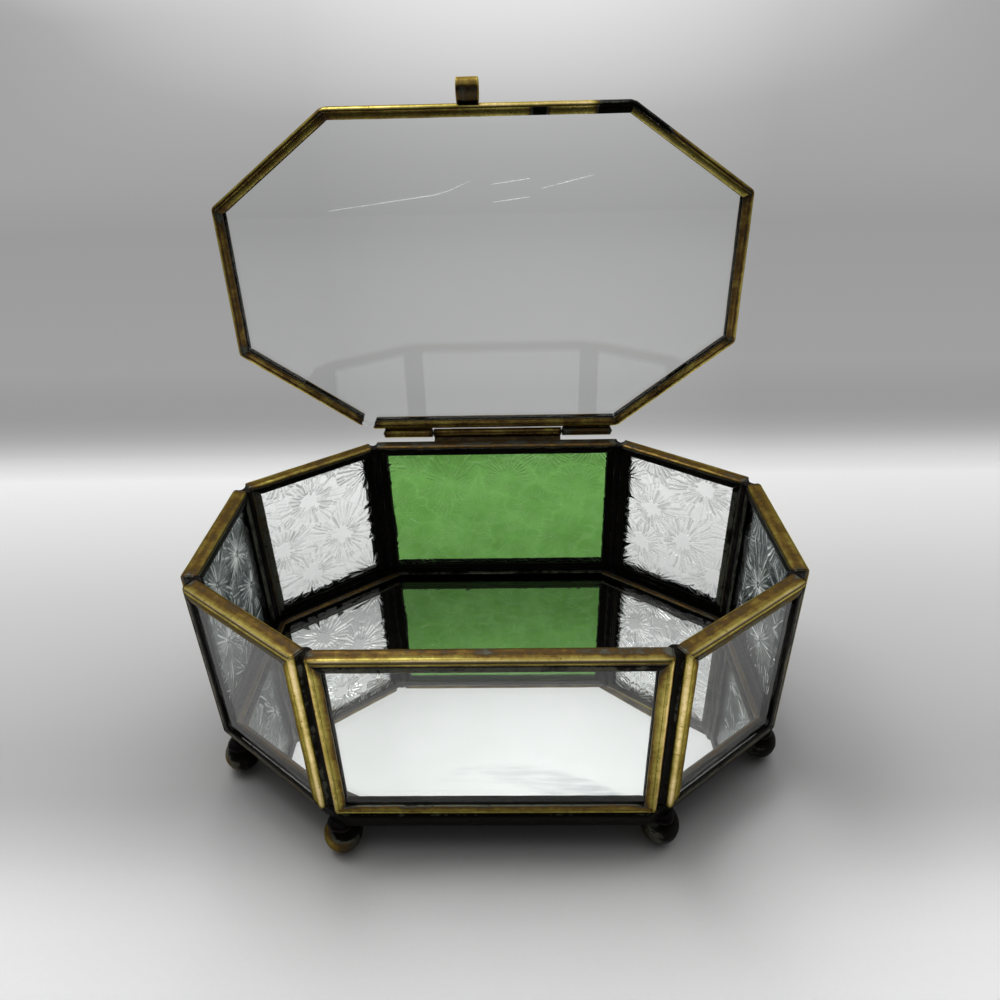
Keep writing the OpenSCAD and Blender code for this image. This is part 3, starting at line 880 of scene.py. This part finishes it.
# The end panes' near-black tint is painted shade: it stands in for the dim room seen through them at a
# slant
end_glass = glass_material(
    "end_glass", (0.055, 0.073, 0.070, 1), 0.6, 1.22, deep_tint=(0.025, 0.036, 0.034, 1)
)
green_glass = glass_material(
    "green_glass", (0.185, 0.44, 0.105, 1), 0.9, deep_tint=(0.11, 0.30, 0.05, 1),
    glint=(0.6, 0.8, 0.5, 1),
)
# Material, petals, groove width, radius of the smooth middles, depth of the pattern, frost of grooves and
# of their flanks, glint, how far the painted black reaches in, and from which edges
PANES = {
    "back": (green_glass, 28, 0.26, 1.9, 0.09, 0.12, 0.0, 0.08, 1.3, ("bottom", "x1")),
    "back_left": (pattern_glass, 28, 0.28, 1.9, 0.40, 0.80, 0.3, 0.0, 3.4, ("bottom", "x0")),
    "back_right": (pattern_glass, 28, 0.28, 1.9, 0.40, 0.80, 0.3, 0.0, 3.4, ("bottom", "x1")),
    "left": (end_glass, 30, 0.29, 0.4, 0.16, 1.0, 0.0, 0.8, 2.7, ("bottom",)),
    "right": (end_glass, 30, 0.29, 0.4, 0.16, 1.0, 0.0, 0.8, 2.7, ("bottom",)),
}


def dress(nodes, material):
    """Gives carried-over CAD nodes a material."""
    for name in nodes:
        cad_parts[name].data.materials.clear()
        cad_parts[name].data.materials.append(material)


for i, side in enumerate(SIDES):
    if side not in PANES:
        dress([side + "_glass"], float_glass)
        continue
    middles = star_middles(side, LENGTHS[i], 70 + i)
    pane = star_pane(side + "_pane", i, middles, PANES[side], 90 + i)
    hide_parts(side + "_glass")
    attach(pane, "box")

# ---------------------------------------------------------------------------------------------
# Solder seams: run down the corners between the side panels, then blackened. Lumpy, and hollow
# where the iron drew it into the groove.
# ---------------------------------------------------------------------------------------------
CORNERS = [
    "front_left", "front_right", "right_front", "right_back",
    "back_right", "back_left", "left_back", "left_front",
]
SEAM_REACH = 1.2
SEAM_POINTS = 9
# How far out the bead's inner side starts, how far it bulges in, and how hollow its outer side is
SEAM_START, SEAM_BULGE, SEAM_HOLLOW = 0.35, 0.5, 0.9
SEAM_LUMP, SEAM_FINE = 0.16, 0.07


def solder_material(name, stops):
    """Soft solder under patina: lumpy, with a dull shine on the lumps."""
    n = Nodes(name)
    place = n.place()
    lumps = n.noise(place, 420.0, 3.0, 0.5)
    fine = n.noise(place, 1600.0, 2.0, 0.5)
    colour = n.ramp(lumps, stops)
    height = n.total(lumps, n.math("MULTIPLY", fine, 0.3))
    bump = n("ShaderNodeBump", {"Strength": 0.6, "Distance": 0.0003, "Height": height}).outputs[0]
    return n.finish(n("ShaderNodeBsdfPrincipled", {
        "Base Color": colour, "Metallic": 0.1, "Roughness": 0.34, "Normal": bump,
        "Specular IOR Level": 0.05,
    }).outputs[0])


solder = solder_material("solder", [
    (0.3, (0.0015, 0.001, 0.001)), (0.62, (0.004, 0.002, 0.002)), (0.8, (0.018, 0.011, 0.009)),
])
brown_solder = solder_material("brown_solder", [
    (0.3, (0.02, 0.012, 0.006)), (0.55, (0.06, 0.038, 0.014)), (0.75, (0.12, 0.08, 0.03)),
])


def seam(i):
    """Bead at corner i: a line across it has an inner side that bulges a little between the two
    inside faces, by a sine, and an outer side that is hollow between the frames' ends. Beside the
    front pane it has the strips' patina, a little worn on the slope away from that pane."""
    e1, e2 = EDGE[i - 1], EDGE[i]
    o1, o2 = NORMAL[i - 1], NORMAL[i]
    base = INSIDE[i]
    t = np.linspace(0, 1, SEAM_POINTS)[:, None]
    a, b = base - e1 * (FRAME_GAP + SEAM_REACH), base + e2 * (FRAME_GAP + SEAM_REACH)
    c = base + e2 * (FRAME_GAP - 0.1) + o2 * SEAM_FILL
    e = base - e1 * (FRAME_GAP - 0.1) + o1 * SEAM_FILL
    middle = (o1 + o2) / np.linalg.norm(o1 + o2)
    bulge = np.sin(np.pi * t)
    inner = a + (b - a) * t + middle * (SEAM_START - SEAM_BULGE * bulge)
    outer = c + (e - c) * t - middle * SEAM_HOLLOW * bulge
    section = np.r_[inner, outer]
    z = np.linspace(WALL_Z + 0.7, RIM_Z - 0.5, 90)
    rows, cols = len(z), len(section)
    points = join(section[:, 0], section[:, 1], z[:, None]).reshape(rows, cols, 3)
    lump = ripple(points, 5, 300 + i) * SEAM_LUMP + ripple(points, 1.7, 320 + i) * SEAM_FINE
    side = np.r_[bulge[:, 0], -bulge[:, 0]]
    points[..., :2] += (lump * side)[..., None] * middle
    beside_front = i < 2
    bead = solid(CORNERS[i] + "_bead", points.reshape(-1, 3), bar_faces(rows, cols),
                 came_brass if beside_front else solder, 60)
    if beside_front:
        away = t[:, 0] if i == 0 else 1 - t[:, 0]
        brightening = np.r_[np.zeros(SEAM_POINTS), np.clip(away * 2.6 - 1.1, 0, 1)]
        dark = 1.3 - 0.36 * brightening + 0.12 * ripple(points, 4, 340 + i)
        keep_tarnish_and_shading(bead, dark, join(z[:, None], np.arange(cols) * 0.3, 3.0))
    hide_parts(CORNERS[i] + "_seam")
    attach(bead, "box")


for i in range(8):
    seam(i)
dress(["tab_solder"], solder)
dress(["hinge_solder", "lid_hinge_solder"], brown_solder)

# ---------------------------------------------------------------------------------------------
# Ball feet: turned brass balls with a flat on top, soldered under the base. They were set slightly
# out of square with the box.
# ---------------------------------------------------------------------------------------------
FOOT_R = 5.0
FOOT_TURN = math.radians(1.4)
FOOT_SHIFT = 0.3
FOOT_IN_FRONT = 3.5
FOOT_IN_END = 3.4


def foot_places():
    """Feet 0, 1, 4 and 5 stand in from the box's corners and the others in from the base's ends."""
    out = corner_out(OUTSIDE)
    out = out / np.linalg.norm(out, axis=1, keepdims=True)
    ends = np.array([[1, 0]] * 4 + [[-1, 0]] * 4)
    front_or_back = (np.arange(8) % 4 < 2)[:, None]
    at = np.where(front_or_back, OUTSIDE - out * FOOT_IN_FRONT, BASE - ends * FOOT_IN_END)
    c, s = math.cos(FOOT_TURN), math.sin(FOOT_TURN)
    return at @ np.array([[c, s], [-s, c]]) + [FOOT_SHIFT, 0]


# Half profile of the solder over a ball: radii, and heights over the base's underside
BEAD_R = np.array([3.2, 3.4, 3.5, 3.35, 2.8, 1.9, 0.8])
BEAD_Z = np.array([-0.9, -0.6, -0.2, 0.3, 0.8, 1.2, 1.4])
# Height and half width of a paler band low on each ball, and how far up its darker cap starts
BAND_Z, BAND_HALF, CAP_Z = 2.2, 0.9, 6.6
# How dark each foot is, from the front left one round
FOOT_DARK = [0.68, 0.98, 1.02, 0.95, 0.95, 0.95, 0.95, 0.88]


def ball(name, at, base_dark, seed):
    """Ball from its lowest point up to the flat, a hair smaller than the real one where ripples dent it.
    Brown, painted darker towards its right side and lighter towards its left as painted shade and light,
    with a paler band low down."""
    lat = np.linspace(math.radians(-89.4), math.asin((BASE_Z - FOOT_R) / FOOT_R), 40)
    turn = np.linspace(0, 2 * np.pi, 56, endpoint=False)
    level = np.cos(lat)[:, None]
    shape = join(level * np.cos(turn), level * np.sin(turn), np.sin(lat)[:, None])
    shape = shape.reshape(len(lat), len(turn), 3)
    dent = 0.06 * np.abs(ripple(shape * FOOT_R + seed, 4, seed))
    points = shape * (FOOT_R - dent * level)[..., None] + [at[0], at[1], FOOT_R]
    points[-1, :, 2] = BASE_Z
    foot = solid(name, points.reshape(-1, 3), bar_faces(len(lat), len(turn)), came_brass, 50)
    z = points[..., 2]
    # Painted shade and light: each ball, and its cap, is darker towards the right and lighter towards the
    # left
    dark = base_dark + 0.26 * shape[..., 0] - 0.14 * np.exp(-(((z - BAND_Z) / BAND_HALF) ** 2))
    cap = 0.4 + 0.4 * shape[..., 0] + 0.3 * ripple(points, 5, seed + 30)
    dark = dark + cap * np.clip((z - CAP_Z) / 2, 0, 1)
    keep_tarnish_and_shading(foot, dark, join(turn[None, :] * FOOT_R, z, 7.0 * seed))
    return foot


def foot_beads(places):
    """Lumps of solder over the top of each ball and round the crease below the base: domes turned
    from radii and heights, then made uneven."""
    turn = np.linspace(0, 2 * np.pi, 40, endpoint=False)
    radius, z = BEAD_R[:, None], BASE_Z + BEAD_Z[:, None]
    points, faces = [], []
    for k, at in enumerate(places):
        dome = join(radius * np.cos(turn), radius * np.sin(turn), z)
        lump = 0.22 * ripple(dome + 9.0 * k, 4, 430 + k) + 0.08 * ripple(dome, 1.6, 440 + k)
        dome[:, :2] *= (1 + lump / 4)[:, None]
        dome[:, :2] += at
        points.append(dome)
        faces += bar_faces(len(radius), len(turn), len(dome) * k)
    beads = solid("foot_beads", np.concatenate(points), faces, solder, 60)
    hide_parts("foot_solder")
    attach(beads, "box")


foot_beads(foot_places())
for i, at in enumerate(foot_places()):
    foot = ball(CORNERS[i] + "_ball", at, FOOT_DARK[i], 400 + i)
    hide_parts(CORNERS[i] + "_foot")
    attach(foot, "box")

# ---------------------------------------------------------------------------------------------
# Lid: clear glass in the same strip, folded round seven corners of the hand-cut pane. Its two ends
# stop short of each other at the back left corner.
# ---------------------------------------------------------------------------------------------
LID_Z = RIM_Z + 0.3
WIRE = np.array([52.6, RIM_Z + 1.6])
LID_OPEN = math.radians(91.4)
CUT_CORNER, CUT_GAP = 5, 4.0
# The lid sits to the left, and its corners were cut a little out of place
LID = OUTSIDE + np.array([-2.9, 0]) + np.array([
    [-1.3, 0.7], [1.3, 0.7], [-0.5, -1.7], [-0.5, -1.7], [1.3, 0], [1.3, 0], [0.5, 0], [0.5, 0],
])


def open_lid(x, y, z):
    """Turns points of the closed lid back about the hinge wire."""
    dy, dz = y - WIRE[0], z - WIRE[1]
    c, s = math.cos(LID_OPEN), math.sin(LID_OPEN)
    return np.stack([x + 0 * dy, WIRE[0] + dy * c + dz * s, WIRE[1] - dy * s + dz * c], -1)


def lid_place(x, y, h):
    """The lid's strip lies on its outline, then opens with it."""
    return open_lid(x, y, h + LID_Z)


# Tarnish of the lid strip's web and of its flanges, by edge from the front one round
LID_WEB = (0.54, 0.90, 0.64, 0.58, 0.60, 0.64, 0.70, 0.70)
LID_FLANGE = (0.46, 0.32, 0.60, 0.56, 0.54, 0.56, 0.64, 0.50)
# A spot on the front rail, where it goes black, and where the next rail does so no more
SPOT_X, SPOT_HALF, BLACK_FROM, BLACK_TO = 14.5, 2.6, 29.5, 53


def lid_tarnish(edge, height, depth, to_end, point):
    """Browner on the web than on the flanges, with black spots on the front rail and its right."""
    share = np.clip((CAME_ROUND + 0.3 - depth) / 0.5, 0, 1)
    dark = LID_FLANGE[edge] + (LID_WEB[edge] - LID_FLANGE[edge]) * share
    dark = dark + 0.18 * np.exp(-((to_end / 2.5) ** 2))
    x = point[..., 0]
    if edge == 0:
        dark = dark + 0.8 * np.exp(-(((x - SPOT_X) / SPOT_HALF) ** 4)) * (depth > 1.2)
        dark = dark + 0.75 * np.clip((x - BLACK_FROM) / 1.5, 0, 1) - 0.1 * np.clip((x + 6) / 4, 0, 1)
    if edge == 1:
        dark = dark - 0.16 * share * np.clip((x - 56) / 6, 0, 1)
        dark = dark + 0.4 * np.clip((BLACK_TO - x) / 3, 0, 1) * (depth < 2.1)
    return dark


ring = came_ring("lid_came", LID, SIDE_W, CAME_LEG, lid_place, lid_tarnish, came_brass,
                 cut=CUT_CORNER, cut_gap=CUT_GAP, seed=61)
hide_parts("lid_frame")
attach(ring, "lid")


# Old scratches in the lid's pane: places along it and distances from the hinge
SCRATCHES = [
    [(-48, 74.3), (-38.4, 75.5), (-26.4, 77), (-16.6, 78.2), (-12.5, 79.2), (-5.3, 82.1)],
    [(0.4, 80.9), (11.8, 82.3)], [(1, 75.9), (11.7, 77.2)], [(15.2, 79.5), (30.5, 83)],
]


def etch_material():
    """Ground glass of the scratches: it scatters what lies behind it."""
    n = Nodes("etch")
    rough = n.ramp(n.noise(n.place(), 900.0, 2.0), [(0.3, 0.45), (0.7, 0.75)])
    return n.finish(n("ShaderNodeBsdfPrincipled", {
        "Base Color": (0.98, 0.99, 0.99, 1), "Roughness": rough, "Transmission Weight": 1.0,
    }).outputs[0])


def scratch(path):
    """Thin bar along a smooth path, widest in its middle and a hair under the pane's lower face."""
    path = np.array(path, float)
    t = np.linspace(0, 1, 40)
    at = np.linspace(0, 1, len(path))
    x, y = np.interp(t, at, path[:, 0]), WIRE[0] - np.interp(t, at, path[:, 1])
    half = 0.04 + 0.09 * np.sin(np.pi * t) ** 0.6
    low, high = LID_Z + GLASS_IN - 0.05, LID_Z + GLASS_IN - 0.01
    rows = [open_lid(x, y + a, b) for a, b in ((-half, low), (half, low), (half, high), (-half, high))]
    return np.stack(rows, 1).reshape(-1, 3), bar_faces(len(t), len(rows))


def lid_pane():
    """Pane with its scratches as one piece."""
    outline = grow(LID, -GLASS_IN)
    low, high = LID_Z + GLASS_IN, LID_Z + GLASS_IN + PANE_T
    parts = [open_lid(outline[:, 0], outline[:, 1], z) for z in (low, high)]
    faces = plate_faces(len(outline))
    plain, count = len(faces), 2 * len(outline)
    for path in SCRATCHES:
        points, more = scratch(path)
        parts.append(points)
        faces += [[c + count for c in f] for f in outward(points, more)]
        count += len(points)
    pane = put_mesh("lid_pane", np.concatenate(parts), faces, clear_glass)
    pane.data.materials.append(etch_material())
    etched = (np.arange(len(faces)) >= plain).astype(np.int32)
    pane.data.polygons.foreach_set("material_index", etched)
    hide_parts("lid_glass")
    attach(pane, "lid")


lid_pane()

# ---------------------------------------------------------------------------------------------
# Hinge: three rolled brass tubes on one wire. The middle one is soldered to the back panel and the
# outer two to the lid.
# ---------------------------------------------------------------------------------------------
TUBE_R = 1.45
BORE_R = 0.65
WIRE_R = 0.6
HINGE_AT = 0.3
HINGE_X = (HINGE_AT - 38.6, HINGE_AT + 38.6)
MIDDLE_X = (HINGE_AT - 21.75, HINGE_AT + 21.75)
TUBE_GAP = 0.3
TUBE_EASE = 0.2
TUBE_SLIT = 0.15
WIRE_OUT = 0.4


def turned_bar(name, profile, place, dark, seed, slit=0.0):
    """Piece turned about the hinge's axis from a closed profile of places along it and radii. A
    rolled tube has a slit: a fine groove along it."""
    turn = np.linspace(0, 2 * np.pi, 40, endpoint=False)
    x, radius = profile[:, :1] + 0 * turn, profile[:, 1:]
    outside = radius > 1.0
    r = radius - slit * np.exp(-(((turn[None, :] - 4.0) / 0.12) ** 2)) * outside
    local = np.stack([x, r * np.cos(turn), r * np.sin(turn)], -1)
    r = r - 0.05 * np.abs(ripple(local, 6, seed)) * outside
    points = place(x, WIRE[0] + r * np.cos(turn), WIRE[1] + r * np.sin(turn))
    faces = grid_quads(*x.shape, close_rows=True, close_cols=True).tolist()
    bar = solid(name, points.reshape(-1, 3), faces, came_brass, 50)
    ends = np.minimum(x - x.min(), x.max() - x)
    keep_tarnish_and_shading(bar, dark + 0.2 * np.exp(-((ends / 1.5) ** 2)) + 0.4 * ~outside, join(x, turn * TUBE_R, seed))
    return bar


def tube_profile(x1, x2):
    """Closed loop round a tube's wall, with eased ends."""
    outer = np.linspace(x1 + TUBE_EASE, x2 - TUBE_EASE, int((x2 - x1) / 1.2))
    return np.array([[x1, BORE_R], [x1, TUBE_R - TUBE_EASE]] + [[x, TUBE_R] for x in outer]
                    + [[x2, TUBE_R - TUBE_EASE], [x2, BORE_R]])


def fixed(x, y, z):
    """Leaves points of the box where they are."""
    return np.stack([x, y, z], -1)


# Node, its two ends, how it is placed, its tarnish and its body
TUBES = [
    ("hinge_middle_tube", MIDDLE_X, fixed, 0.54, "box"),
    ("hinge_left_tube", (HINGE_X[0], MIDDLE_X[0] - TUBE_GAP), open_lid, 0.52, "lid"),
    ("hinge_right_tube", (MIDDLE_X[1] + TUBE_GAP, HINGE_X[1]), open_lid, 0.70, "lid"),
]
for k, (node, (x1, x2), place, dark, body) in enumerate(TUBES):
    bar = turned_bar(node + "_rolled", tube_profile(x1, x2), place, dark, 500 + k, slit=TUBE_SLIT)
    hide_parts(node)
    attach(bar, body)
x1, x2 = HINGE_X[0] - WIRE_OUT, HINGE_X[1] + WIRE_OUT
wire = np.array([[x1, 0.03], [x1, 0.4], [x1 + 0.2, WIRE_R], [x2 - 0.2, WIRE_R], [x2, 0.4], [x2, 0.03]])
bar = turned_bar("hinge_pin", wire, fixed, 0.3, 510)
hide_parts("hinge_wire")
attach(bar, "box")

# ---------------------------------------------------------------------------------------------
# Lift tab: a strip of brass rolled into a loop, whose flat foot is soldered to the lid's front rail.
# ---------------------------------------------------------------------------------------------
TAB_W = 6.3
TAB_WALL = 0.7
TAB_EDGE = 0.15
TAB_D = 6.7
TAB_X = -5.5
TAB_FOOT_H = 2.8
TAB_Y = LID[0][1]
# Tarnish of the tab, and how much lighter the top of its loop is painted, a painted highlight
TAB_DARK, TAB_TOP_HIGHLIGHT = 0.74, 0.24


def tab_path():
    """Middle line of the strip in the plane across the lid: up the flat foot, then once round
    the loop."""
    r = (TAB_D - TAB_WALL) / 2
    middle = np.array([TAB_Y - TAB_D / 2, LID_Z + SIDE_W / 2])
    foot_z = np.linspace(LID_Z + (SIDE_W - TAB_FOOT_H) / 2, LID_Z + (SIDE_W + TAB_FOOT_H) / 2, 7)
    foot = np.stack([np.full(7, TAB_Y - TAB_WALL / 2), foot_z], 1)
    turn = np.linspace(0.42, 2 * np.pi - 0.5, 60)
    loop = middle + r * np.stack([np.cos(turn), np.sin(turn)], 1)
    return np.r_[foot, loop]


def lift_tab():
    """Sweeps the strip's section, a thin bar with rounded edges, along its path."""
    path = tab_path()
    way = np.gradient(path, axis=0)
    way /= np.linalg.norm(way, axis=1, keepdims=True)
    side = np.stack([-way[:, 1], way[:, 0]], 1)
    half = TAB_WALL / 2
    flat_half = TAB_W / 2 - TAB_EDGE
    across = np.r_[np.linspace(-flat_half, flat_half, 15), TAB_W / 2,
                   np.linspace(flat_half, -flat_half, 15), -TAB_W / 2]
    thick = np.r_[np.full(15, half), 0, np.full(15, -half), 0]
    flat = path[:, None, :] + side[:, None, :] * thick[None, :, None]
    x = TAB_X + across[None, :] + 0 * flat[..., 0]
    shape = np.stack([x, flat[..., 0], flat[..., 1]], -1)
    dent = 0.05 * ripple(shape, 5, 600)
    flat = flat + side[:, None, :] * (dent * np.sign(-thick))[..., None] * (dent > 0)[..., None]
    points = open_lid(x, flat[..., 0], flat[..., 1])
    tab = solid("lift_tab_strip", points.reshape(-1, 3), bar_faces(*x.shape), came_brass, 50)
    run = np.cumsum(np.r_[0, np.linalg.norm(np.diff(path, axis=0), axis=1)])
    z = points[..., 2]
    # Painted highlight: the top of the loop is lighter
    dark = TAB_DARK - TAB_TOP_HIGHLIGHT * np.clip((z - z.max() + 2.6) / 0.8, 0, 1)
    dark = dark - 0.2 * (np.abs(across) > TAB_W / 2 - 0.2)
    keep_tarnish_and_shading(tab, dark, join(run[:, None] * 0.5, across[None, :], 5.0))
    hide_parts("lift_tab")
    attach(tab, "lid")


lift_tab()
